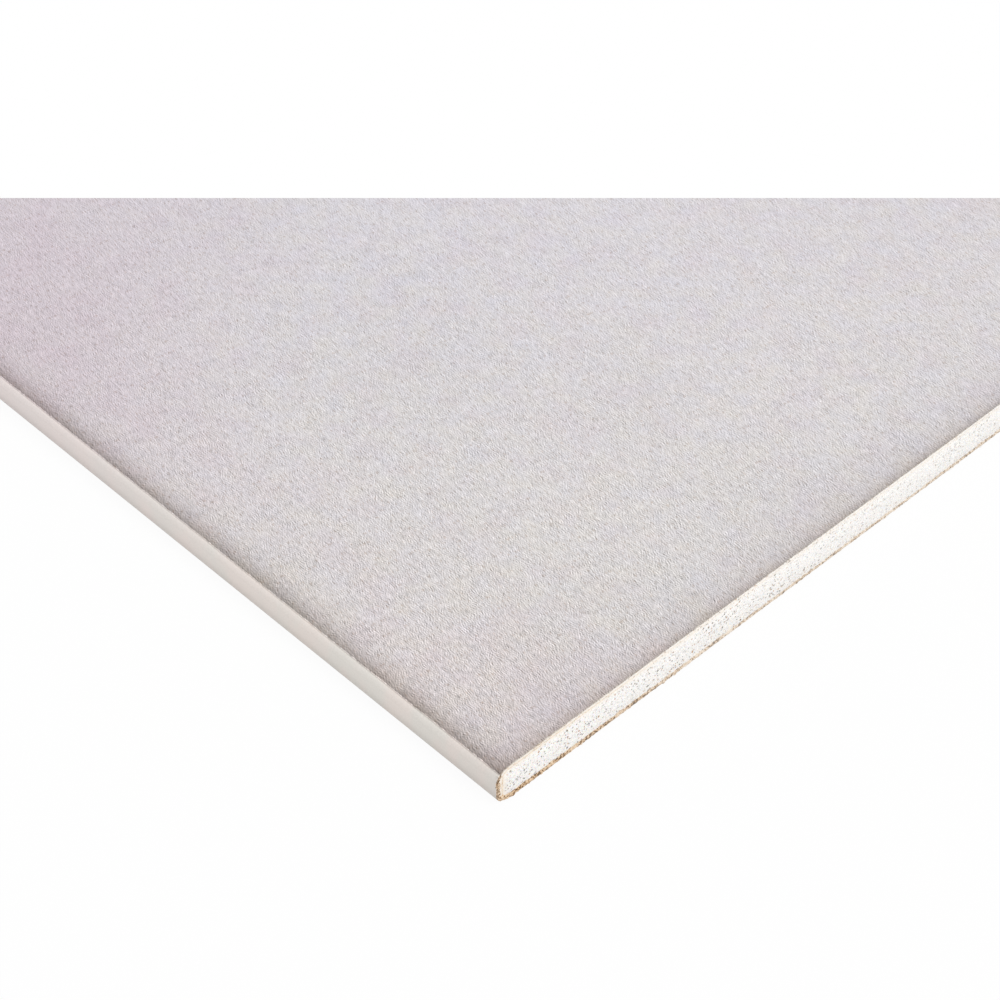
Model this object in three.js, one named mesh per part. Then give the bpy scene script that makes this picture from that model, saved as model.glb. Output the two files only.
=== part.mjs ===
// A sheet of paper-faced gypsum wallboard, lying flat with its face side down, in millimetres.
// X runs along the sheet, Y across it and Z up. The origin is under the middle of the sheet.
//
// The sheet has three pieces. The gypsum core is cast between two papers. The ivory face paper
// covers the underside, turns up round both long edges and lies folded on the back as two flaps.
// The grey back paper is laid over the flaps, and its borders end on the roundings of the back.
// Both short ends are cut square, so each piece has one section all along the sheet.

import * as THREE from 'three';

const SHEET_LENGTH = 2400;
const SHEET_WIDTH = 1200;
const SHEET_THICKNESS = 12.5;
const PAPER = 0.4;

// The long edges: a flattish round under the sheet, a short upright side, and a round to the back.
const FACE_ROUND_ACROSS = 6;
const FACE_ROUND_DOWN = 3.6;
const BACK_ROUND_ACROSS = 4.8;
const BACK_ROUND_DOWN = 3.2;
const FLAP_WIDTH = 25;

// How far in from the side the back paper's border ends, on its own outer surface.
const BACK_PAPER_STOP = 1.2;

const ARC_STEPS = 14;

const HALF_WIDTH = SHEET_WIDTH / 2;
const FLAP_TOP = SHEET_THICKNESS - PAPER;
const FLAP_END = HALF_WIDTH - FLAP_WIDTH;

// Centres of the two roundings at the +Y edge. Every layer's rounding has the same centres.
const FACE_CENTRE = new THREE.Vector2(HALF_WIDTH - FACE_ROUND_ACROSS, FACE_ROUND_DOWN);
const BACK_CENTRE = new THREE.Vector2(HALF_WIDTH - BACK_ROUND_ACROSS, FLAP_TOP - BACK_ROUND_DOWN);

// The part of a rounding between two angles from +Y, for a layer set in from the face paper's outside.
function rounding(centre, across, down, inset, startAngle, endAngle) {
  const arc = new THREE.EllipseCurve(
    centre.x, centre.y, across - inset, down - inset, startAngle, endAngle);
  return arc.getPoints(ARC_STEPS);
}

function faceRounding(inset) {
  return rounding(FACE_CENTRE, FACE_ROUND_ACROSS, FACE_ROUND_DOWN, inset, -Math.PI / 2, 0);
}

function backRounding(inset, startAngle, endAngle) {
  return rounding(BACK_CENTRE, BACK_ROUND_ACROSS, BACK_ROUND_DOWN, inset, startAngle, endAngle);
}

// The back paper's border sits at this angle of the rounding, from +Y.
const BORDER_REACH = HALF_WIDTH - BACK_PAPER_STOP - BACK_CENTRE.x;
const BORDER_ANGLE = Math.acos(BORDER_REACH / (BACK_ROUND_ACROSS + PAPER));

// A layer's long edge at +Y from the underside up to the back, with a point where the border sits.
function longEdge(inset) {
  return [
    ...faceRounding(inset),
    ...backRounding(inset, 0, BORDER_ANGLE),
    ...backRounding(inset, BORDER_ANGLE, Math.PI / 2).slice(1),
  ];
}

// The same points on the -Y side, in the opposite order, so that an outline can run on round.
function mirrored(points) {
  return points.map((point) => new THREE.Vector2(-point.x, point.y)).reverse();
}

function coreOutline() {
  const half = [
    ...longEdge(PAPER),
    new THREE.Vector2(FLAP_END, FLAP_TOP - PAPER),
    new THREE.Vector2(FLAP_END, FLAP_TOP),
  ];
  return [...half, ...mirrored(half)];
}

function facePaperOutline() {
  const outside = [...longEdge(0), new THREE.Vector2(FLAP_END, FLAP_TOP)];
  const inside = [...longEdge(PAPER), new THREE.Vector2(FLAP_END, FLAP_TOP - PAPER)];
  return [...mirrored(outside), ...outside, ...inside.reverse(), ...mirrored(inside)];
}

function backPaperOutline() {
  const outside = backRounding(-PAPER, BORDER_ANGLE, Math.PI / 2);
  const inside = backRounding(0, BORDER_ANGLE, Math.PI / 2);
  return [...outside, ...mirrored(outside), ...mirrored(inside).reverse(), ...inside.reverse()];
}

// Sweeps a section drawn in Y and Z along the whole sheet.
function sweptAlongSheet(outline) {
  const section = new THREE.Shape(outline);
  const geometry = new THREE.ExtrudeGeometry(section, { depth: SHEET_LENGTH, bevelEnabled: false });
  const alongX = new THREE.Matrix4().makeBasis(
    new THREE.Vector3(0, 1, 0), new THREE.Vector3(0, 0, 1), new THREE.Vector3(1, 0, 0));
  return geometry.applyMatrix4(alongX).translate(-SHEET_LENGTH / 2, 0, 0);
}

function namedPiece(name, outline, color) {
  const material = new THREE.MeshStandardMaterial({ color, roughness: 0.95, metalness: 0 });
  const mesh = new THREE.Mesh(sweptAlongSheet(outline), material);
  mesh.name = name;
  return mesh;
}

const sheet = new THREE.Group();
sheet.add(namedPiece('gypsum_core', coreOutline(), 0xf5f1ea));
sheet.add(namedPiece('face_paper', facePaperOutline(), 0xded4ca));
sheet.add(namedPiece('back_paper', backPaperOutline(), 0xd5cfcd));

export default sheet;
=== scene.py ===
"""A sheet of paper-faced gypsum wallboard lying on a pale floor, seen close up at one corner.

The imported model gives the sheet's shape: a gypsum core, the ivory face paper that wraps both long
edges, and the grey back paper on top. This script adds the finish of the three materials, the
rough cut ends of the core, and the torn paper fibres along the cuts. Lengths are in metres.
"""

import math
import random

import bpy
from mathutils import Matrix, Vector, noise


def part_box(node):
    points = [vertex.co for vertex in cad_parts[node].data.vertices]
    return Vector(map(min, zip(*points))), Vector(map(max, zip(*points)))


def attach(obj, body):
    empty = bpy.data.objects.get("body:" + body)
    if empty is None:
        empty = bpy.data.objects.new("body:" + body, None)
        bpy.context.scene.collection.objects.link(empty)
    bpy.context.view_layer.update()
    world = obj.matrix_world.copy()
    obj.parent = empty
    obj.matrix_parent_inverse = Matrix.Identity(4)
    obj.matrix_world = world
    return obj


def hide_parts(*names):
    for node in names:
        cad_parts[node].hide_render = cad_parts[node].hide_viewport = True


MM = 0.001

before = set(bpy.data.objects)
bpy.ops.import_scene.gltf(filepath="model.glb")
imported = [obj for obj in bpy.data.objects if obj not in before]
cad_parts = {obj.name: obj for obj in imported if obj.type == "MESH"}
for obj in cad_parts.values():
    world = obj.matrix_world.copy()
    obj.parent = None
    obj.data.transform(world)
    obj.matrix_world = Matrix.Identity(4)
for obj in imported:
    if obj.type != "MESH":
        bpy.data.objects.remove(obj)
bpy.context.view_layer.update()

# The sheet's own sizes, read from the frame where the frame holds them.
CORE_LOW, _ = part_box("gypsum_core")
_, FACE_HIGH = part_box("face_paper")
_, BACK_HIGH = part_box("back_paper")
HALF_LENGTH = FACE_HIGH.x
HALF_WIDTH = FACE_HIGH.y
THICKNESS = BACK_HIGH.z
PAPER = CORE_LOW.z
FLAP_WIDTH = 25 * MM
FACE_ROUND_ACROSS = 6.0 * MM
FACE_ROUND_DOWN = 3.6 * MM
BACK_ROUND_ACROSS = 4.8 * MM
BACK_ROUND_DOWN = 3.2 * MM
BACK_PAPER_STOP = 1.2 * MM


# ---------------------------------------------------------------- node helpers

# A Mix node's colour sockets, by place, because several of its sockets share a name.
MIX_FACTOR = 0
MIX_BELOW = 6
MIX_ABOVE = 7
MIX_RESULT = 2


def new_material(name):
    """A material with only its Principled shader, and that shader."""
    material = bpy.data.materials.new(name)
    material.use_nodes = True
    shader = material.node_tree.nodes["Principled BSDF"]
    return material, shader


def add_node(tree, kind, inputs=None, **settings):
    """A node with its settings and its inputs, each a value or another node's output."""
    node = tree.nodes.new(kind)
    for name, value in settings.items():
        setattr(node, name, value)
    for key, value in (inputs or {}).items():
        if isinstance(value, bpy.types.NodeSocket):
            tree.links.new(value, node.inputs[key])
        else:
            node.inputs[key].default_value = value
    return node


def calc(tree, operation, first, second=0.0, third=0.0):
    """The result of one arithmetic operation."""
    node = add_node(tree, "ShaderNodeMath", {0: first, 1: second, 2: third}, operation=operation)
    return node.outputs[0]


def centred(tree, value):
    """A value about 0.5, such as a noise, moved to lie about 0."""
    return calc(tree, "SUBTRACT", value, 0.5)


def rescale(tree, value, from_low, from_high, to_low=0.0, to_high=1.0):
    """value carried from one range to another and held at its ends."""
    ranges = {"From Min": from_low, "From Max": from_high, "To Min": to_low, "To Max": to_high}
    return add_node(tree, "ShaderNodeMapRange", {"Value": value, **ranges}).outputs["Result"]


def scaled(tree, value, by, from_low, from_high, to_low, to_high):
    """value times a factor, which goes from to_low to to_high as by goes through its own range."""
    return calc(tree, "MULTIPLY", value, rescale(tree, by, from_low, from_high, to_low, to_high))


def blend_colours(tree, factor, below, above, blend_type="MIX"):
    """One colour laid over another, by a factor from 0 to 1."""
    node = add_node(
        tree, "ShaderNodeMix", {MIX_FACTOR: factor, MIX_BELOW: below, MIX_ABOVE: above},
        data_type="RGBA", blend_type=blend_type)
    return node.outputs[MIX_RESULT]


def multiply_colour(tree, colour, by, factor=1.0):
    """A colour times another colour or a value, by a factor from 0 for not at all to 1."""
    return blend_colours(tree, factor, colour, by, "MULTIPLY")


def grain_space(tree, place, angle, along, across, up=None):
    """Coordinates whose unit is along metres at angle from X, across metres at right angles, and up."""
    return add_node(
        tree, "ShaderNodeMapping",
        {"Vector": place, "Rotation": (0, 0, math.radians(angle)), "Scale": (along, across, up or across)},
        vector_type="TEXTURE",
    ).outputs["Vector"]


def shifted(tree, place, metres):
    """The same coordinates moved, so that a second noise of one size differs from the first."""
    node = add_node(tree, "ShaderNodeVectorMath", {0: place, 1: (metres, metres, metres)}, operation="ADD")
    return node.outputs["Vector"]


def noise_node(tree, place, size=1.0, detail=0.0, roughness=0.5, flat=False):
    """Noise with features of that size in metres, or of one unit of place."""
    return add_node(
        tree, "ShaderNodeTexNoise",
        {"Vector": place, "Scale": 1.0 / size, "Detail": detail, "Roughness": roughness},
        noise_dimensions="2D" if flat else "3D")


def noise_value(tree, place, size=1.0, **settings):
    """The same noise as a value about 0.5."""
    return noise_node(tree, place, size, **settings).outputs["Fac"]


def object_place(tree):
    """Where a point of the sheet is, in metres."""
    return add_node(tree, "ShaderNodeTexCoord").outputs["Object"]


def split_xyz(tree, vector):
    """The three parts of a vector or a colour."""
    node = add_node(tree, "ShaderNodeSeparateXYZ", {"Vector": vector})
    return node.outputs["X"], node.outputs["Y"], node.outputs["Z"]


def distance_from(tree, coordinate, half_size):
    """How far a point lies in from the nearer of the two ends at plus and minus half_size."""
    return calc(tree, "SUBTRACT", half_size, calc(tree, "ABSOLUTE", coordinate))


def colour_curve(tree, factor, stops):
    """A colour ramp through the given (position, colour) stops."""
    node = add_node(tree, "ShaderNodeValToRGB", {"Fac": factor})
    ramp = node.color_ramp
    while len(ramp.elements) < len(stops):
        ramp.elements.new(1.0)
    for element, (position, colour) in zip(ramp.elements, stops):
        element.position = position
        element.color = (*colour, 1.0)
    return node.outputs["Color"]


def edge_shade(tree, depth, stops):
    """A colour multiplier that changes towards an edge, from (metres from the edge, colour) stops."""
    reach = stops[-1][0]
    factor = rescale(tree, depth, 0.0, reach)
    return colour_curve(tree, factor, [(at / reach, colour) for at, colour in stops])


def grey(value):
    """A neutral colour of that level."""
    return (value, value, value)


def opaque(colour):
    """A colour with its alpha, as a colour socket takes it."""
    return (*colour, 1.0)


def add_bump(tree, shader, height, strength, distance):
    """Fine relief on a material, from a height in units of distance metres."""
    bump = add_node(tree, "ShaderNodeBump", {"Height": height, "Strength": strength, "Distance": distance})
    tree.links.new(bump.outputs["Normal"], shader.inputs["Normal"])


def finish_shader(tree, shader, colour, roughness, specular):
    """The colour of a material, and its values that are the same all over."""
    tree.links.new(colour, shader.inputs["Base Color"])
    shader.inputs["Roughness"].default_value = roughness
    shader.inputs["Specular IOR Level"].default_value = specular


# ---------------------------------------------------------------- materials

GREY_WARM = (0.683, 0.655, 0.652, 1.0)
GREY_COOL = (0.665, 0.648, 0.690, 1.0)
GREY_PINK = (0.645, 0.578, 0.625, 1.0)
# Casts over the grey, as multipliers: rosy close to the corners, and cooler a few hands from them.
COOL_CAST = (0.990, 0.988, 1.009, 1.0)
ROSY_CAST = (1.015, 0.992, 1.0, 1.0)
FIBRE_FLECK = (0.84, 0.79, 0.75, 1.0)
FIBRE_SPECK = (0.93, 0.91, 0.89, 1.0)
IVORY_WARM = (0.890, 0.800, 0.750, 1.0)
IVORY_COOL = (0.825, 0.800, 0.750, 1.0)
IVORY_PINK = (0.875, 0.785, 0.775, 1.0)
LINER_DARK = (0.090, 0.055, 0.030)
LINER_BROWN = (0.380, 0.245, 0.140)
LINER_TAN = (0.720, 0.555, 0.390)
LINER_PALE = (0.890, 0.785, 0.665)
LINER_CREAM = (0.930, 0.880, 0.800)
LINER_EDGE = (0.310, 0.260, 0.215)
LINER_DUST = (0.530, 0.480, 0.430, 1.0)
# A stain on the brown plies and a shade on the cream ones, as multipliers.
LINER_STAIN = (0.80, 0.67, 0.52, 1.0)
LINER_SHADE = (0.82, 0.81, 0.805, 1.0)
GYPSUM = (0.990, 0.972, 0.952, 1.0)
GYPSUM_EDGE = (0.890, 0.800, 0.690, 1.0)
GYPSUM_SHADE = (0.590, 0.570, 0.560, 1.0)
GYPSUM_PORE = (0.260, 0.245, 0.225, 1.0)
GYPSUM_RUST = (0.560, 0.330, 0.200, 1.0)
GYPSUM_CREAM = (0.930, 0.860, 0.765, 1.0)
GYPSUM_BLUISH = (0.800, 0.860, 0.930, 1.0)

# The paper's fibres lie mostly at this angle to the sheet's length, and its strands this parallel.
FIBRE_ANGLE = -10
STRAND_ORDER = 0.55
STRAND_WEIGHT = 2.35
# The strands lie further apart further in, from an end at this share of what they do from a side.
SPREAD_ALONG = 0.3

# The border of the back paper strays this much, with bays this long.
BORDER_STRAY = 0.32 * MM
BORDER_BAY = 1.2 * MM

# Moves that make one noise differ from another of its size.
SLOW_TINT_SHIFT = 0.25
PINK_TINT_SHIFT = 0.37
GRAIN_TINT_SHIFT = 0.21

# The tints of the papers fall to this share of themselves between these distances from a corner.
CALM_SHARE = 0.3
CALM_START = 320 * MM
CALM_END = 600 * MM

# The mottle of torn plies: how much a slower one sways it, how much lighter it is than the middle,
# and near a corner how much more it spreads and how much darker it gets.
SLOW_MOTTLE = 0.3
MOTTLE_LIFT = 0.035
CORNER_SPREAD = 0.55
CORNER_DROP = -0.045

# The relief of clouds beside the nap of the grey paper, and of grain beside the pores of the core.
CLOUD_HEIGHT = 0.4
GRAIN_HEIGHT = 0.5

# The bond of the core and its paper shows as a tan line this deep under the back.
BOND_DEPTH = 1.65 * MM

# The soft rim of a pore, as a share of the distance between pores.
PORE_RIM = 0.12


def pore_mask(tree, place, spacing, share, widest):
    """1 inside round pores in that share of cells, spacing apart, and one random value a pore."""
    cells = add_node(
        tree, "ShaderNodeTexVoronoi", {"Vector": place, "Scale": 1 / spacing, "Randomness": 1.0})
    chosen, kind, _ = split_xyz(tree, cells.outputs["Color"])
    radius = rescale(tree, chosen, 1.0 - share, 1.0, 0.0, widest)
    inside = calc(tree, "SUBTRACT", radius, cells.outputs["Distance"])
    return rescale(tree, inside, 0.0, PORE_RIM), kind


def paper_fibres(tree, place, layers):
    """The sum of several directions of fibre, about 0, from (angle, along, across, weight) layers."""
    total = None
    for angle, along, across, weight in layers:
        fibre = noise_value(tree, grain_space(tree, place, angle, along, across), flat=True)
        layer = calc(tree, "MULTIPLY", centred(tree, fibre), weight)
        total = layer if total is None else calc(tree, "ADD", total, layer)
    return total


def fibre_strands(tree, place, spacing, length):
    """Close strands about FIBRE_ANGLE, that far apart and about that long, as a value about 0."""
    strands = add_node(
        tree, "ShaderNodeTexGabor",
        {"Vector": place, "Scale": 1.0 / length, "Frequency": calc(tree, "DIVIDE", length, spacing),
         "Anisotropy": STRAND_ORDER, "Orientation": math.radians(FIBRE_ANGLE + 90)},
        gabor_type="2D")
    return centred(tree, strands.outputs["Value"])


def calmed(tree, share, from_corner):
    """A tint's share, less of it far from the corners."""
    return scaled(tree, share, from_corner, CALM_START, CALM_END, 1.0, CALM_SHARE)


def slow_pink(tree, place, depth_x, from_corner):
    """The share of a faint pink that comes and goes over hand widths, most of it near the corners."""
    patches = noise_value(tree, shifted(tree, place, SLOW_TINT_SHIFT), 260 * MM)
    share = rescale(tree, patches, 0.54, 0.72, 0.0, 0.8)
    share = scaled(tree, share, depth_x, 120 * MM, 220 * MM, 0.3, 1.0)
    return calmed(tree, share, from_corner)


def grey_fibres(tree, place, depth_x, depth_y):
    """The fine fibres of the grey paper about 0: crossing ones, and strands further apart further in."""
    crossing = paper_fibres(tree, place, [
        (FIBRE_ANGLE, 2.4 * MM, 0.25 * MM, 0.85),
        (FIBRE_ANGLE - 14, 1.4 * MM, 0.24 * MM, 0.68),
        (FIBRE_ANGLE - 40, 1.4 * MM, 0.26 * MM, 0.68),
    ])
    inward = calc(tree, "MULTIPLY_ADD", depth_x, SPREAD_ALONG, depth_y)
    spacing = rescale(tree, inward, 0.0, 400 * MM, 0.62 * MM, 0.93 * MM)
    strands = fibre_strands(tree, place, spacing, 1.4 * MM)
    return calc(tree, "MULTIPLY_ADD", strands, STRAND_WEIGHT, crossing)


def grey_tints(tree, place, depth_x, from_corner):
    """The colour of the grey paper: warm and cool clouds, faint pinks, and the casts near a corner."""
    cloud_tint = noise_value(tree, place, 7 * MM, detail=1.0)
    pink_tint = noise_value(tree, shifted(tree, place, PINK_TINT_SHIFT), 9 * MM, detail=1.0)
    colour = blend_colours(tree, rescale(tree, cloud_tint, 0.25, 0.75), GREY_WARM, GREY_COOL)
    small_pink = rescale(tree, pink_tint, 0.45, 0.75, 0.0, 0.35)
    pink = calc(tree, "ADD", small_pink, slow_pink(tree, place, depth_x, from_corner))
    colour = blend_colours(tree, pink, colour, GREY_PINK)
    cool = calmed(tree, rescale(tree, from_corner, 140 * MM, 320 * MM), from_corner)
    colour = multiply_colour(tree, colour, COOL_CAST, cool)
    rosy = rescale(tree, from_corner, 85 * MM, 50 * MM)
    return multiply_colour(tree, colour, ROSY_CAST, rosy)


def grey_level(tree, place, clouds, depth_x, depth_y, from_corner):
    """How light the grey paper is: fibres that fade away from the corner, on clouds, a slow drift and
    painted light.
    """
    bundles = paper_fibres(tree, place, [
        (FIBRE_ANGLE, 6.0 * MM, 0.75 * MM, 0.20),
        (FIBRE_ANGLE - 30, 3.0 * MM, 0.9 * MM, 0.10),
    ])
    drift = noise_value(tree, place, 90 * MM, detail=2.0)
    contrast = rescale(tree, clouds, 0.35, 0.65, 0.54, 0.76)
    contrast = scaled(tree, contrast, from_corner, 60 * MM, 340 * MM, 0.82, 0.40)
    fibres = grey_fibres(tree, place, depth_x, depth_y)
    level = calc(tree, "MULTIPLY_ADD", fibres, contrast, calc(tree, "ADD", bundles, 1.02))
    level = scaled(tree, level, clouds, 0.3, 0.7, 1.016, 0.980)
    level = scaled(tree, level, drift, 0.3, 0.7, 0.985, 1.015)
    # Painted light: a little lighter near the corners and further in from the long edges.
    level = scaled(tree, level, from_corner, 60 * MM, 330 * MM, 1.012, 0.965)
    level = scaled(tree, level, depth_y, 60 * MM, 300 * MM, 1.0, 1.045)
    rim = rescale(tree, depth_y, 20 * MM, 100 * MM, 1.0, 0.92)
    return scaled(tree, level, depth_x, 0.0, 0.8 * MM, rim, 1.0)


def grey_margins(tree, place, depth_x, depth_y):
    """The grey paper darker towards its edges, as three colour multipliers.

    Along the long edges one shade has the border itself, a crisp and slightly ragged line with a
    lighter lip, painted light on its steep slope, and painted shade where the paper rounds over the
    edge; the other has the wide margin beyond it, a fainter painted shade. The first stays short, so
    that its steps stay sharp. The third is darker towards the cut ends.
    """
    ragged = centred(tree, noise_value(tree, place, BORDER_BAY, detail=2.0))
    ragged_depth = calc(tree, "MULTIPLY_ADD", ragged, BORDER_STRAY, depth_y)
    # Painted light on the lip up to the border, then painted shade where the paper rounds over the edge.
    border = edge_shade(tree, ragged_depth, [
        (1.25 * MM, (1.42, 1.39, 1.35)),
        (1.30 * MM, (0.592, 0.565, 0.528)),
        (1.65 * MM, (0.610, 0.586, 0.551)),
        (2.05 * MM, (0.647, 0.622, 0.592)),
        (2.65 * MM, (0.735, 0.713, 0.687)),
        (3.2 * MM, (0.775, 0.755, 0.735)),
        (5.2 * MM, (0.890, 0.883, 0.876)),
        (7.4 * MM, (0.963, 0.963, 0.957)),
        (11 * MM, grey(1.0)),
    ])
    # A fainter painted shade over the wide margin along the long edges.
    margin = edge_shade(tree, depth_y, [
        (11 * MM, (0.955, 0.94, 0.925)),
        (18 * MM, (0.97, 0.955, 0.945)),
        (60 * MM, (0.985, 0.985, 0.97)),
        (160 * MM, grey(1.0)),
    ])
    end = edge_shade(tree, depth_x, [
        (0.0, (0.66, 0.625, 0.575)),
        (0.8 * MM, (0.73, 0.69, 0.65)),
        (2.5 * MM, (0.85, 0.825, 0.80)),
        (5.0 * MM, (0.90, 0.885, 0.87)),
        (10 * MM, (0.94, 0.935, 0.925)),
        (20 * MM, (0.975, 0.972, 0.945)),
        (50 * MM, (1.0, 0.995, 0.972)),
        (160 * MM, grey(1.0)),
    ])
    return border, margin, end


def grey_liner_material():
    """Rough recycled paper: crossing fibres, faint pink and blue clouds, darker towards its edges."""
    material, shader = new_material("grey_back_liner")
    tree = material.node_tree
    place = object_place(tree)
    x, y, _ = split_xyz(tree, place)
    depth_x = distance_from(tree, x, HALF_LENGTH)
    depth_y = distance_from(tree, y, HALF_WIDTH)
    from_corner = calc(tree, "ADD", depth_x, depth_y)

    clouds = noise_value(
        tree, grain_space(tree, place, FIBRE_ANGLE, 14 * MM, 7 * MM), detail=2.0, roughness=0.6)
    colour = grey_tints(tree, place, depth_x, from_corner)
    level = grey_level(tree, place, clouds, depth_x, depth_y, from_corner)
    colour = multiply_colour(tree, colour, level)
    flecks = noise_value(tree, grain_space(tree, place, FIBRE_ANGLE, 1.7 * MM, 0.45 * MM), flat=True)
    colour = multiply_colour(tree, colour, FIBRE_FLECK, rescale(tree, flecks, 0.69, 0.78))
    specks, _ = pore_mask(tree, place, 6 * MM, 0.6, 0.07)
    colour = blend_colours(tree, specks, colour, FIBRE_SPECK)
    for shade in grey_margins(tree, place, depth_x, depth_y):
        colour = multiply_colour(tree, colour, shade)

    nap = noise_value(tree, grain_space(tree, place, FIBRE_ANGLE, 1.4 * MM, 0.3 * MM), flat=True)
    height = calc(tree, "MULTIPLY_ADD", clouds, CLOUD_HEIGHT, nap)
    add_bump(tree, shader, height, strength=0.5, distance=0.10 * MM)
    finish_shader(tree, shader, colour, roughness=0.95, specular=0.15)
    return material


def depth_in_rounding(tree, y, height, across, down):
    """How far in a point lies from one flat face and the two elliptical roundings at its sides."""
    beyond_y = calc(tree, "SUBTRACT", calc(tree, "ABSOLUTE", y), HALF_WIDTH - across)
    beyond_z = calc(tree, "SUBTRACT", down, height)
    share_y = calc(tree, "DIVIDE", calc(tree, "MAXIMUM", beyond_y, 0.0), across)
    share_z = calc(tree, "DIVIDE", calc(tree, "MAXIMUM", beyond_z, 0.0), down)
    squares = calc(tree, "MULTIPLY_ADD", share_y, share_y, calc(tree, "MULTIPLY", share_z, share_z))
    return calc(tree, "MULTIPLY", calc(tree, "SUBTRACT", 1.0, calc(tree, "SQRT", squares)), down)


def depth_under_back(tree, y, z):
    """How far in a point lies from the sheet's back and its roundings."""
    height = calc(tree, "SUBTRACT", THICKNESS, z)
    return depth_in_rounding(tree, y, height, BACK_ROUND_ACROSS + PAPER, BACK_ROUND_DOWN + PAPER)


def depth_under_face(tree, y, z):
    """How far in a point lies from the sheet's face, the underside, and its roundings."""
    return depth_in_rounding(tree, y, z, FACE_ROUND_ACROSS, FACE_ROUND_DOWN)


def ply_mottle(tree, place, size):
    """The uneven light and dark of torn plies, a little above 0.5, in specks of that size."""
    fine = noise_value(
        tree, grain_space(tree, place, 90, 1.3 * size, size), detail=2.0, roughness=0.75)
    slow = noise_value(tree, place, 6 * MM)
    mottle = calc(tree, "MULTIPLY_ADD", centred(tree, slow), SLOW_MOTTLE, fine)
    return calc(tree, "ADD", mottle, MOTTLE_LIFT)


def brown_plies(tree, mottle, depth_y):
    """The face paper's brown plies: mixed and stained near a long edge, dusty away from it."""
    corner = rescale(tree, depth_y, 80 * MM, 0.0)
    spread = calc(tree, "MULTIPLY_ADD", centred(tree, mottle), CORNER_SPREAD, CORNER_DROP)
    brown = colour_curve(tree, calc(tree, "MULTIPLY_ADD", corner, spread, mottle), [
        (0.38, LINER_DARK), (0.44, LINER_BROWN), (0.52, LINER_TAN), (0.60, LINER_PALE),
    ])
    brown = blend_colours(tree, rescale(tree, depth_y, 0.0, 80 * MM, 0.08, 0.42), brown, LINER_DUST)
    stain = scaled(tree, corner, depth_y, 1.0 * MM, 5.0 * MM, 0.5, 1.0)
    return multiply_colour(tree, brown, LINER_STAIN, stain)


def cream_plies(tree, mottle, depth_y, depth_back):
    """The cream plies, shaded near a long edge, with the back paper's own dark edge at the top."""
    cream = colour_curve(tree, mottle, [
        (0.34, LINER_BROWN), (0.41, LINER_TAN), (0.48, LINER_PALE), (0.55, LINER_CREAM),
    ])
    near = rescale(tree, depth_y, 100 * MM, 65 * MM)
    near = scaled(tree, near, depth_y, 10 * MM, 40 * MM, 0.7, 1.0)
    cream = multiply_colour(tree, cream, LINER_SHADE, near)
    is_back_paper = rescale(tree, depth_back, 0.55 * MM, 0.25 * MM)
    is_back_paper = scaled(tree, is_back_paper, mottle, 0.45, 0.55, 1.0, 0.45)
    is_back_paper = scaled(tree, is_back_paper, depth_y, 20 * MM, 90 * MM, 0.7, 1.0)
    return blend_colours(tree, is_back_paper, cream, opaque(LINER_EDGE))


def torn_plies(tree, place, mottle_size=0.8 * MM):
    """The plies inside the papers: brown where the face paper is cut, cream further in and on top."""
    _, y, z = split_xyz(tree, place)
    mottle = ply_mottle(tree, place, mottle_size)
    depth_y = distance_from(tree, y, HALF_WIDTH)
    brown = brown_plies(tree, mottle, depth_y)
    cream = cream_plies(tree, mottle, depth_y, depth_under_back(tree, y, z))
    is_top = rescale(tree, z, 10.9 * MM, 11.5 * MM)
    is_inner = rescale(tree, depth_under_face(tree, y, z), 1.2 * MM, 2.1 * MM, 0.0, 0.7)
    return blend_colours(tree, calc(tree, "MAXIMUM", is_top, is_inner), brown, cream)


def is_cut_face(tree):
    """1 where the surface faces along the sheet, as the cut ends do."""
    normal = add_node(tree, "ShaderNodeTexCoord").outputs["Normal"]
    along = calc(tree, "ABSOLUTE", split_xyz(tree, normal)[0])
    return rescale(tree, along, 0.6, 0.9)


def ivory_liner_material():
    """Smooth calendered paper with faint warm and cool stretches, brown where it is cut."""
    material, shader = new_material("ivory_face_liner")
    tree = material.node_tree
    place = object_place(tree)
    x, _, z = split_xyz(tree, place)
    depth_x = distance_from(tree, x, HALF_LENGTH)

    stretches = noise_value(tree, grain_space(tree, place, 0, 11 * MM, 30 * MM, up=30 * MM), detail=2.0)
    warmth = rescale(tree, stretches, 0.42, 0.58, 0.2, 0.8)
    colour = blend_colours(tree, warmth, IVORY_WARM, IVORY_COOL)
    colour = blend_colours(tree, slow_pink(tree, place, depth_x, depth_x), colour, IVORY_PINK)
    grain = noise_value(tree, place, 0.5 * MM, detail=2.0, roughness=0.6)
    level = rescale(tree, grain, 0.2, 0.8, 1.045, 1.155)
    level = scaled(tree, level, depth_x, 0.0, 30 * MM, 0.95, 1.0)
    colour = multiply_colour(tree, colour, level)
    # Along the long edges, painted shade and light by height: dark at the floor, lighter upwards,
    # a little darker on the upper rounding, and lightest just under the border, where the lip shades it.
    # The underside, at height 0, isn't shaded.
    painted_shade_by_height = edge_shade(tree, z, [
        (0.0, grey(1.0)),
        (0.2 * MM, grey(0.618)),
        (6.0 * MM, grey(0.909)),
        (8.4 * MM, grey(0.940)),
        (9.4 * MM, grey(0.920)),
        (10.2 * MM, grey(0.870)),
        (10.6 * MM, grey(0.866)),
        (10.8 * MM, grey(0.885)),
        (11.0 * MM, grey(1.0)),
    ])
    colour = multiply_colour(tree, colour, painted_shade_by_height)
    colour = blend_colours(tree, is_cut_face(tree), colour, torn_plies(tree, place))

    add_bump(tree, shader, grain, strength=0.2, distance=0.05 * MM)
    finish_shader(tree, shader, colour, roughness=0.8, specular=0.25)
    return material


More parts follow.
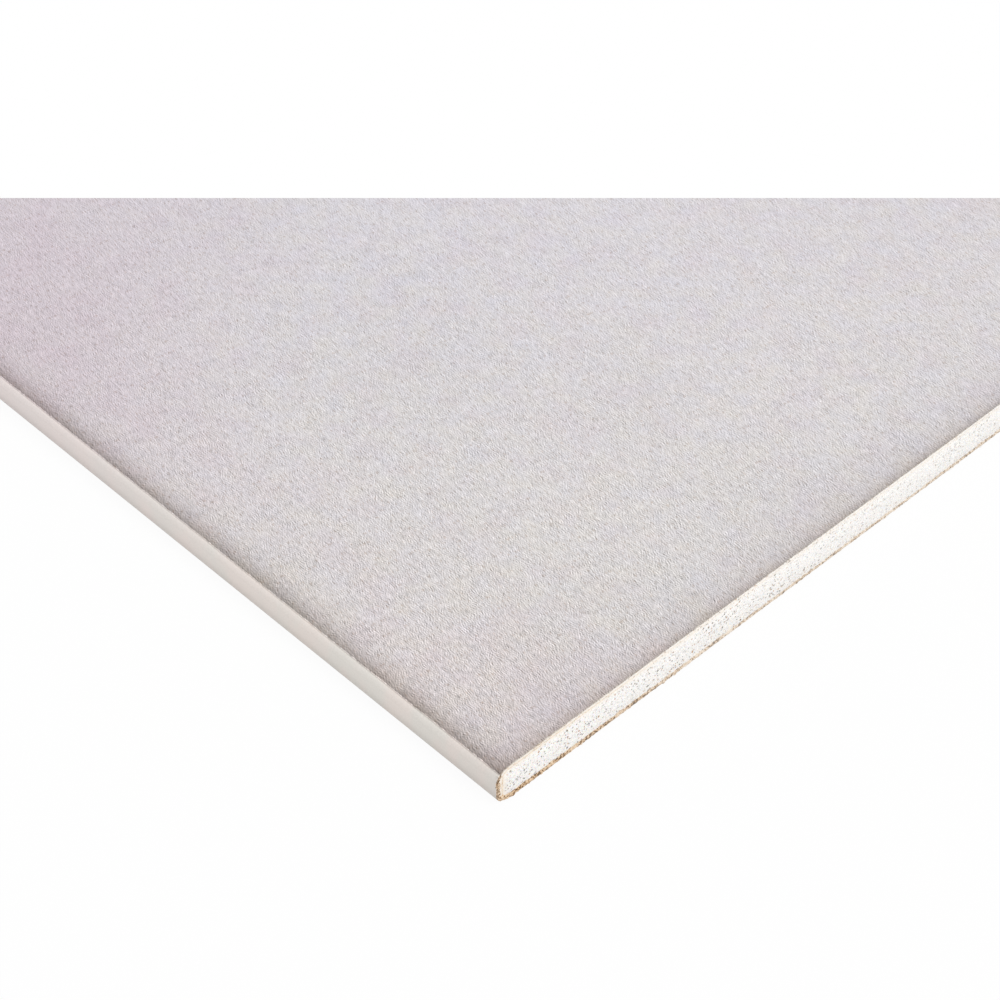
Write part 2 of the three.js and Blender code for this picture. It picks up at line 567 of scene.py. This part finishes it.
def gypsum_pores(tree, place, depth_y):
    """Small and large pores, fainter some way in from the long edges, and a random value for each."""
    small, kind = pore_mask(tree, place, 0.66 * MM, 0.50, 0.52)
    large, _ = pore_mask(tree, grain_space(tree, place, 0, 2.4 * MM, 1.7 * MM), 1.0, 0.30, 0.28)
    cluster = rescale(tree, noise_value(tree, place, 6 * MM), 0.35, 0.60, 0.35, 0.85)
    pore = calc(tree, "MAXIMUM", calc(tree, "MULTIPLY", small, cluster), large)
    return scaled(tree, pore, depth_y, 105 * MM, 135 * MM, 1.0, 0.56), kind


def gypsum_grain(tree, place, grain, speckle, depth_y):
    """The off-white of the core, with its shaded grain and its cream, bluish and mixed specks."""
    colour = blend_colours(tree, rescale(tree, grain, 0.32, 0.52), GYPSUM_SHADE, GYPSUM)
    colour = blend_colours(tree, rescale(tree, speckle, 0.53, 0.64, 0.0, 0.9), colour, GYPSUM_BLUISH)
    colour = blend_colours(tree, rescale(tree, speckle, 0.47, 0.36, 0.0, 0.9), colour, GYPSUM_CREAM)
    patches = noise_value(tree, place, 5 * MM, detail=2.0)
    colour = blend_colours(tree, rescale(tree, patches, 0.35, 0.7, 0.0, 0.15), colour, GYPSUM_CREAM)
    tints = noise_node(tree, shifted(tree, place, GRAIN_TINT_SHIFT), 0.36 * MM)
    tinted = rescale(tree, depth_y, 35 * MM, 60 * MM, 0.12, 0.06)
    return blend_colours(tree, tinted, colour, tints.outputs["Color"], "LINEAR_LIGHT")


def gypsum_under_back(tree, colour, speckle, depth_y, depth):
    """The core's upper edge: creamier under the back paper, with a broken tan line in it."""
    cream = rescale(tree, depth, 3.4 * MM, 1.6 * MM, 0.0, 0.76)
    cream = scaled(tree, cream, depth, 0.7 * MM, 1.5 * MM, 0.4, 1.0)
    cream = scaled(tree, cream, depth_y, 35 * MM, 95 * MM, 1.0, 0.42)
    colour = blend_colours(tree, cream, colour, GYPSUM_EDGE)
    from_bond = calc(tree, "ABSOLUTE", calc(tree, "SUBTRACT", depth, BOND_DEPTH))
    bond = rescale(tree, from_bond, 0.28 * MM, 0.08 * MM)
    bond = scaled(tree, bond, depth_y, 60 * MM, 15 * MM, 0.3, 1.0)
    bond = scaled(tree, bond, speckle, 0.42, 0.56, 0.2, 0.9)
    return blend_colours(tree, bond, colour, opaque(LINER_TAN))


def gypsum_material():
    """Cast gypsum: off-white, with a fine grain and scattered small grey pores."""
    material, shader = new_material("cut_gypsum")
    tree = material.node_tree
    place = object_place(tree)
    _, y, z = split_xyz(tree, place)
    depth_y = distance_from(tree, y, HALF_WIDTH)

    grain = noise_value(tree, place, 0.42 * MM, detail=2.0, roughness=0.8)
    speckle = noise_value(tree, place, 0.36 * MM, detail=1.0)
    pore, kind = gypsum_pores(tree, place, depth_y)
    colour = gypsum_grain(tree, place, grain, speckle, depth_y)
    pore_colour = blend_colours(tree, rescale(tree, kind, 0.62, 0.70), GYPSUM_PORE, GYPSUM_RUST)
    colour = blend_colours(tree, pore, colour, pore_colour)
    colour = gypsum_under_back(tree, colour, speckle, depth_y, depth_under_back(tree, y, z))
    # Painted shade: the core darker towards the floor.
    colour = multiply_colour(tree, colour, rescale(tree, z, 0.5 * MM, 10.0 * MM, 0.90, 1.0))

    height = calc(tree, "SUBTRACT", calc(tree, "MULTIPLY", grain, GRAIN_HEIGHT), pore)
    add_bump(tree, shader, height, strength=0.5, distance=0.25 * MM)
    finish_shader(tree, shader, colour, roughness=0.95, specular=0.1)
    return material


def torn_paper_material(name, mottle_size):
    """The frayed plies of the papers along a cut."""
    material, shader = new_material(name)
    tree = material.node_tree
    colour = torn_plies(tree, object_place(tree), mottle_size)
    finish_shader(tree, shader, colour, roughness=0.95, specular=0.1)
    return material


# ---------------------------------------------------------------- making pieces

def mesh_piece(name, vertices, faces, smooth=False):
    """A new object in the scene, from its vertices and faces."""
    mesh = bpy.data.meshes.new(name)
    mesh.from_pydata(vertices, [], faces)
    mesh.polygons.foreach_set("use_smooth", [smooth] * len(mesh.polygons))
    piece = bpy.data.objects.new(name, mesh)
    bpy.context.scene.collection.objects.link(piece)
    return piece


def finish_piece(piece, material):
    """A piece with its material and its slot, riding on the sheet."""
    piece.data.materials.append(material)
    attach(piece, "root")


def paint_cad_node(name, material):
    """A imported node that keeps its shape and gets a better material."""
    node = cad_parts[name]
    node.data.materials.clear()
    node.data.materials.append(material)


def grid_faces(columns, rows, first=0, flip=False):
    """Quads over a grid of vertices stored column by column."""
    faces = []
    for column in range(columns - 1):
        for row in range(rows - 1):
            corner = first + column * rows + row
            face = (corner, corner + rows, corner + rows + 1, corner + 1)
            faces.append(face[::-1] if flip else face)
    return faces


def wobble(seed, place, size, amount):
    """Smooth noise between about plus and minus amount, with features of that size."""
    return amount * noise.noise(Vector((place[0] / size + seed, place[1] / size, place[2] / size)))


# ---------------------------------------------------------------- the section of the sheet

def arc(centre_y, centre_z, across, down, start, end, steps=24):
    """Points of an elliptical arc in the section, angles in degrees from +Y."""
    points = []
    for step in range(steps + 1):
        angle = math.radians(start + (end - start) * step / steps)
        points.append((centre_y + across * math.cos(angle), centre_z + down * math.sin(angle)))
    return points


FACE_CENTRE_Y = HALF_WIDTH - FACE_ROUND_ACROSS
FACE_CENTRE_Z = FACE_ROUND_DOWN
BACK_CENTRE_Y = HALF_WIDTH - BACK_ROUND_ACROSS
BACK_CENTRE_Z = THICKNESS - PAPER - BACK_ROUND_DOWN
BORDER_ACROSS = (BACK_ROUND_ACROSS - BACK_PAPER_STOP) / (BACK_ROUND_ACROSS + PAPER)
BORDER_ANGLE = math.degrees(math.acos(BORDER_ACROSS))

# Two points of an outline that are closer than this are one.
SAME_POINT = 1e-9


def mirrored(points):
    """The same points on the other side of the sheet, in the order that carries an outline on."""
    return [(-y, z) for y, z in reversed(points)]


def face_paper_outside():
    """The face paper's outside, from its border at +Y round the underside to its border at -Y."""
    half = [
        *arc(BACK_CENTRE_Y, BACK_CENTRE_Z, BACK_ROUND_ACROSS, BACK_ROUND_DOWN, BORDER_ANGLE, 0),
        *arc(FACE_CENTRE_Y, FACE_CENTRE_Z, FACE_ROUND_ACROSS, FACE_ROUND_DOWN, 0, -90),
    ]
    return half + mirrored(half)


def back_paper_outside():
    """The back paper's outside, from its border at -Y over the top to its border at +Y."""
    half = arc(
        BACK_CENTRE_Y, BACK_CENTRE_Z, BACK_ROUND_ACROSS + PAPER, BACK_ROUND_DOWN + PAPER,
        90, BORDER_ANGLE)
    return mirrored(half) + half


def evenly(points, step):
    """Points every step metres along an outline, each with the unit normal on its left."""
    samples = []
    carried = 0.0
    for (y0, z0), (y1, z1) in zip(points, points[1:]):
        length = math.hypot(y1 - y0, z1 - z0)
        if length < SAME_POINT:
            continue
        direction = ((y1 - y0) / length, (z1 - z0) / length)
        while carried < length:
            samples.append((
                y0 + direction[0] * carried, z0 + direction[1] * carried, -direction[1], direction[0]))
            carried += step
        carried -= length
    return samples


# ---------------------------------------------------------------- the rough core

CORE_FINE_STEP = 0.55 * MM
CORE_COARSE_STEP = 1.6 * MM
CORE_FINE_REACH = 300 * MM
CORE_ROWS = 24

# The sawn face lies this deep on average, with waves on it, as (seed step, size, amount).
SAWN_DEPTH = 0.16 * MM
SAWN_WAVES = ((0, 28 * MM, 0.10 * MM), (7, 3.5 * MM, 0.10 * MM), (13, 1.1 * MM, 0.12 * MM))
# The two ends of the core, each with the seed of its waves.
CORE_END_SEEDS = ((1, 3.1), (-1, 41.7))


def ellipse_rise(inward, across, down):
    """How far an elliptical rounding has left its flat, at a distance inward from the side."""
    share = 1 - min(max(inward / across, 0.0), 1.0)
    return down * (1 - math.sqrt(1 - share * share))


def core_height_range(y):
    """The lowest and highest height of the core at y, less under the folded flaps."""
    inward = HALF_WIDTH - PAPER - abs(y)
    low = PAPER + ellipse_rise(inward, FACE_ROUND_ACROSS - PAPER, FACE_ROUND_DOWN - PAPER)
    layers = 2 if abs(y) > HALF_WIDTH - FLAP_WIDTH else 1
    high = THICKNESS - layers * PAPER
    high -= ellipse_rise(inward, BACK_ROUND_ACROSS - PAPER, BACK_ROUND_DOWN - PAPER)
    return low, high


def core_columns():
    """Places across the sheet, closest near the long edges."""
    edge = HALF_WIDTH - PAPER
    places = []
    y = -edge
    while y < edge:
        places.append(y)
        near_edge = edge - abs(y) < CORE_FINE_REACH
        y += CORE_FINE_STEP if near_edge else CORE_COARSE_STEP
    return places + [edge]


def core_relief(y, z, seed):
    """How deep the sawn face lies at a place: a fine roughness on slow waves."""
    depth = SAWN_DEPTH
    for seed_step, size, amount in SAWN_WAVES:
        depth += wobble(seed + seed_step, (y, z, 0.0), size, amount)
    return max(depth, 0.0)


def add_rough_core():
    """The core with both cut faces as fine relief, joined by its plain hidden sides."""
    columns = core_columns()
    vertices = []
    for end, seed in CORE_END_SEEDS:
        for y in columns:
            low, high = core_height_range(y)
            for row in range(CORE_ROWS):
                z = low + (high - low) * row / (CORE_ROWS - 1)
                vertices.append((end * (HALF_LENGTH - core_relief(y, z, seed)), y, z))
    count = len(columns)
    faces = grid_faces(count, CORE_ROWS)
    faces += grid_faces(count, CORE_ROWS, count * CORE_ROWS, flip=True)
    rim = [column * CORE_ROWS for column in range(count)]
    rim += [(count - 1) * CORE_ROWS + row for row in range(1, CORE_ROWS)]
    rim += [column * CORE_ROWS + CORE_ROWS - 1 for column in range(count - 2, -1, -1)]
    rim += [row for row in range(CORE_ROWS - 2, 0, -1)]
    far = count * CORE_ROWS
    for here, after in zip(rim, rim[1:] + rim[:1]):
        faces.append((here, here + far, after + far, after))
    core = mesh_piece("rough_core", vertices, faces)
    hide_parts("gypsum_core")
    return core


# ---------------------------------------------------------------- torn paper along the cuts

# How far from a long edge the torn bands are rougher, and the chips lie closer together.
BAND_CORNER_REACH = 110 * MM
FLAKE_CORNER_REACH = 120 * MM
# Where a chip may lie along the outline, and the places of its bends as shares of its length.
FLAKE_SPACING = 0.35 * MM
FLAKE_STATIONS = (-0.5, -0.1, 0.25, 0.5)
# Where a stray fibre may start along the outline, and how many points it has.
STRAY_SPACING = 0.5 * MM
STRAY_POINTS = 5
# The step of the feathered border along the sheet.
BORDER_STEP = 0.9 * MM


def corner_nearness(y, reach=BAND_CORNER_REACH):
    """1 at a long edge, falling to 0 within that reach."""
    return max(0.0, 1 - (HALF_WIDTH - abs(y)) / reach)


def patchy(seed, y, z, size):
    """Smooth noise between 0 and 1 along an outline."""
    return 0.5 + 0.5 * noise.noise(Vector((y / size + seed, z / size, seed)))


def add_torn_band(name, outline, step, end, seed, reach_range, corner_reach, bulge):
    """A ragged band of torn plies along a paper's cut edge, over the cut end of the sheet.

    It starts on the paper's outside, bulges out of the cut and lies against the core, where it
    reaches between the two depths of reach_range, and up to corner_reach more near the corners.
    """
    low, high = reach_range
    samples = evenly(outline, step)
    vertices = []
    for y, z, out_y, out_z in samples:
        place = (y, z, end)
        ragged = patchy(seed, y, z, 1.6 * MM)
        slow = patchy(seed + 2, y, z, 8 * MM)
        near_corner = corner_nearness(y)
        reach = low + (high - low) * 2 * ragged * slow + corner_reach * near_corner * (0.3 + ragged)
        underside = max(-out_z, 0.0)
        jag = 2 * patchy(seed + 4, y, z, 1.1 * MM) ** 2
        swell = bulge * (0.1 + 0.9 * underside) * (0.2 + jag + near_corner * slow)
        # The band's section, as (how far in from the paper's outside, how far out of the cut).
        rows = [
            (0.0, -0.10 * MM),
            (0.04 * MM + wobble(seed + 3, place, 0.8 * MM, 0.12 * MM), swell * 0.6),
            (reach * 0.3, swell + wobble(seed + 5, place, 0.8 * MM, 0.20 * MM)),
            (reach * 0.7, swell * 0.8 + wobble(seed + 9, place, 0.7 * MM, 0.20 * MM)),
            (reach, 0.02 * MM),
            (reach + 0.1 * MM, -0.35 * MM),
        ]
        for inward, outward in rows:
            height = max(z - out_z * inward, 0.0)
            vertices.append((end * (HALF_LENGTH + outward), y - out_y * inward, height))
    faces = grid_faces(len(samples), len(rows), flip=end < 0)
    return mesh_piece(name, vertices, faces)


def add_flakes(name, outline, end, seed, size_range, share):
    """Small bent chips of torn ply, close together near the corners and sparse between them."""
    chance = random.Random(seed)
    vertices = []
    faces = []
    for y, z, out_y, out_z in evenly(outline, FLAKE_SPACING):
        if chance.random() > share + (1 - share) * corner_nearness(y, FLAKE_CORNER_REACH) ** 2:
            continue
        # Each chip has its own size, turn, place on the cut, tilt and bend.
        length = chance.uniform(*size_range)
        width = length * chance.uniform(0.25, 0.6)
        turn = chance.gauss(0.0, 0.7)
        inward = chance.uniform(-0.05, 0.45) * MM * (1 + corner_nearness(y))
        outward = chance.uniform(-0.05, 0.30) * MM
        tilt = chance.uniform(-0.5, 0.5)
        bend = chance.uniform(-0.3, 0.5) * length
        along = (
            out_z * math.cos(turn) - out_y * math.sin(turn),
            -out_y * math.cos(turn) - out_z * math.sin(turn),
        )
        across = (along[1], -along[0])
        first = len(vertices)
        for share_along in FLAKE_STATIONS:
            half = width * (0.5 - 0.7 * share_along * share_along)
            lift = bend * (0.25 - share_along * share_along)
            for side in (-half, half):
                at_y = y - out_y * inward + along[0] * share_along * length + across[0] * side
                at_z = z - out_z * inward + along[1] * share_along * length + across[1] * side
                x = HALF_LENGTH + outward + lift + tilt * side
                vertices.append((end * x, at_y, max(at_z, 0.0)))
        faces += grid_faces(len(FLAKE_STATIONS), 2, first)
    return mesh_piece(name, vertices, faces)


def add_feathered_border(side):
    """The back paper's feathered long border, a thin ragged lip down the rounding of one edge."""
    across = BACK_ROUND_ACROSS + PAPER
    down = BACK_ROUND_DOWN + PAPER
    steps = round(2 * HALF_LENGTH / BORDER_STEP)
    vertices = []
    for step in range(steps + 1):
        x = -HALF_LENGTH + 2 * HALF_LENGTH * step / steps
        place = (x, side, 0.0)
        ragged = wobble(17.0 * side, place, 1.7 * MM, 1.5) + wobble(5.0 * side, place, 14 * MM, 3.0)
        # The lip's section, as (degrees above the border, height over the paper).
        lip = ((7.0, 0.0), (4.0, 0.05 * MM), (2.0 + min(ragged, 1.0), -0.05 * MM))
        for turn, lift in lip:
            angle = math.radians(BORDER_ANGLE + turn)
            y = BACK_CENTRE_Y + (across + lift) * math.cos(angle)
            z = BACK_CENTRE_Z + (down + lift) * math.sin(angle)
            vertices.append((x, side * y, z))
    faces = grid_faces(steps + 1, len(lip), flip=side > 0)
    label = "plus" if side > 0 else "minus"
    return mesh_piece(f"feathered_border_{label}_y", vertices, faces, smooth=True)


def add_stray_fibres(name, outline, end, seed, count, longest):
    """Thin bent ribbons of fibre that stand out of a torn edge at random."""
    chance = random.Random(seed)
    samples = evenly(outline, STRAY_SPACING)
    vertices = []
    faces = []
    for _ in range(count):
        y, z, out_y, out_z = chance.choice(samples)
        length = chance.uniform(0.3, 1.0) * longest
        width = chance.uniform(0.06, 0.14) * MM
        along = chance.choice((-1, 1)) * chance.uniform(0.3, 1.0)
        outward = chance.uniform(0.15, 0.8)
        curl = chance.uniform(-0.5, 0.5)
        inward = chance.uniform(0.0, 0.35) * MM
        first = len(vertices)
        for step in range(STRAY_POINTS):
            run = length * step / (STRAY_POINTS - 1)
            lift = curl * run * run / longest
            x = HALF_LENGTH - 0.1 * MM + outward * run * 0.6
            at_y = y - out_y * (inward - lift) + out_z * along * run
            at_z = z - out_z * (inward - lift) - out_y * along * run
            taper = width * (1 - 0.15 * step) / 2
            for side in (-taper, taper):
                vertices.append((end * x, at_y + out_y * side, max(at_z + out_z * side, 0.0)))
        faces += grid_faces(STRAY_POINTS, 2, first)
    return mesh_piece(name, vertices, faces)


def add_torn_edges():
    """The frayed cut edges of both papers, at both ends of the sheet."""
    plies = torn_paper_material("torn_liner_plies", mottle_size=0.60 * MM)
    chips = torn_paper_material("torn_liner_chips", mottle_size=0.55 * MM)
    face = face_paper_outside()
    back = back_paper_outside()
    for end, label in ((1, "plus_x"), (-1, "minus_x")):
        band = add_torn_band(
            f"torn_face_paper_{label}", face, 0.4 * MM, end, 11.0 * end,
            reach_range=(0.60 * MM, 1.00 * MM), corner_reach=0.65 * MM, bulge=0.22 * MM)
        finish_piece(band, plies)
        flakes = add_flakes(
            f"face_paper_flakes_{label}", face, end, 50 + end, size_range=(0.4 * MM, 1.3 * MM), share=0.12)
        finish_piece(flakes, chips)
        strays = add_stray_fibres(
            f"face_paper_fibres_{label}", face, end, 20 + end, count=900, longest=2.2 * MM)
        finish_piece(strays, chips)
        band = add_torn_band(
            f"torn_back_paper_{label}", back, 0.6 * MM, end, 31.0 * end,
            reach_range=(0.30 * MM, 0.55 * MM), corner_reach=0.0, bulge=0.05 * MM)
        finish_piece(band, plies)


# ---------------------------------------------------------------- floor, light and camera

CAMERA_AZIMUTH = 46.137
CAMERA_ELEVATION = 43.713
CAMERA_FROM_CORNER = Vector((0.3054, -0.2922, 0.5116))
FOCAL_PIXELS = 2601.9
PICTURE_PIXELS = 1000
PICTURE_TOP_ROW = 198
SENSOR_WIDTH = 36.0
CLIP_START = 0.05

AMBIENT = 0.65
SUN_LEVEL = 0.50
SUN_AZIMUTH = 8.0
SUN_ELEVATION = 50.0
SUN_SPREAD = 25.0
SUN_DISTANCE = 3
WHITE = (1, 1, 1, 1)

FLOOR_HALF = 8.0
FLOOR_LEVEL = -0.5 * MM
FLOOR_GREY = (0.86, 0.86, 0.86, 1.0)
FLOOR_GLOW = 0.95


def seen_directly(tree):
    """1 for the rays that meet a plain white: camera, glossy and transmission rays."""
    rays = add_node(tree, "ShaderNodeLightPath")
    seen = calc(tree, "MAXIMUM", rays.outputs["Is Camera Ray"], rays.outputs["Is Glossy Ray"])
    return calc(tree, "MAXIMUM", seen, rays.outputs["Is Transmission Ray"])


def add_floor():
    """A pale floor that shows near white to the camera and keeps a soft shadow."""
    around = ((-1, -1), (1, -1), (1, 1), (-1, 1))
    corners = [(x * FLOOR_HALF, y * FLOOR_HALF, FLOOR_LEVEL) for x, y in around]
    floor = mesh_piece("floor", corners, [(0, 1, 2, 3)])
    material, shader = new_material("pale_floor")
    tree = material.node_tree
    shader.inputs["Base Color"].default_value = FLOOR_GREY
    shader.inputs["Roughness"].default_value = 0.9
    shader.inputs["Specular IOR Level"].default_value = 0.0
    glow = add_node(tree, "ShaderNodeEmission", {"Color": WHITE, "Strength": 1.0})
    share = calc(tree, "MULTIPLY", seen_directly(tree), FLOOR_GLOW)
    mix = add_node(tree, "ShaderNodeMixShader", {0: share, 1: shader.outputs[0], 2: glow.outputs[0]})
    tree.links.new(mix.outputs[0], tree.nodes["Material Output"].inputs["Surface"])
    floor.data.materials.append(material)


def light_world():
    """An even light from all round that shows white to the camera."""
    world = bpy.data.worlds.new("studio")
    bpy.context.scene.world = world
    world.use_nodes = True
    tree = world.node_tree
    strength = calc(tree, "MULTIPLY_ADD", seen_directly(tree), 1.0 - AMBIENT, AMBIENT)
    background = tree.nodes["Background"]
    background.inputs["Color"].default_value = WHITE
    tree.links.new(strength, background.inputs["Strength"])


def add_sun():
    """A wide, soft key light from beyond the near cut end."""
    light = bpy.data.lights.new("soft_key", "SUN")
    light.energy = math.pi * SUN_LEVEL
    light.angle = math.radians(SUN_SPREAD)
    lamp = bpy.data.objects.new("soft_key", light)
    azimuth = math.radians(SUN_AZIMUTH)
    elevation = math.radians(SUN_ELEVATION)
    towards = Vector((
        math.cos(elevation) * math.cos(azimuth),
        math.cos(elevation) * math.sin(azimuth),
        math.sin(elevation),
    ))
    lamp.rotation_euler = towards.to_track_quat("Z", "Y").to_euler()
    lamp.location = towards * SUN_DISTANCE
    bpy.context.scene.collection.objects.link(lamp)


def add_camera():
    """The close view of the near corner, ending at the depth where the picture of the sheet ends."""
    data = bpy.data.cameras.new("camera")
    data.sensor_width = SENSOR_WIDTH
    data.lens = SENSOR_WIDTH * FOCAL_PIXELS / PICTURE_PIXELS
    camera = bpy.data.objects.new("camera", data)
    camera.location = Vector((HALF_LENGTH, -HALF_WIDTH, 0)) + CAMERA_FROM_CORNER
    camera.rotation_euler = (math.radians(90 - CAMERA_ELEVATION), 0, math.radians(CAMERA_AZIMUTH))
    bpy.context.scene.collection.objects.link(camera)
    bpy.context.scene.camera = camera

    up_slope = (PICTURE_PIXELS / 2 - PICTURE_TOP_ROW) / FOCAL_PIXELS
    tilt = math.radians(CAMERA_ELEVATION)
    fall = math.sin(tilt) - up_slope * math.cos(tilt)
    data.clip_start = CLIP_START
    data.clip_end = (camera.location.z - THICKNESS) / fall


def main():
    """The dressed sheet on its floor, with its light and its camera."""
    finish_piece(add_rough_core(), gypsum_material())
    add_torn_edges()
    paint_cad_node("face_paper", ivory_liner_material())
    grey_liner = grey_liner_material()
    paint_cad_node("back_paper", grey_liner)
    for side in (1, -1):
        finish_piece(add_feathered_border(side), grey_liner)
    add_floor()
    light_world()
    add_sun()
    add_camera()
    bpy.context.scene.view_settings.view_transform = "Standard"


main()
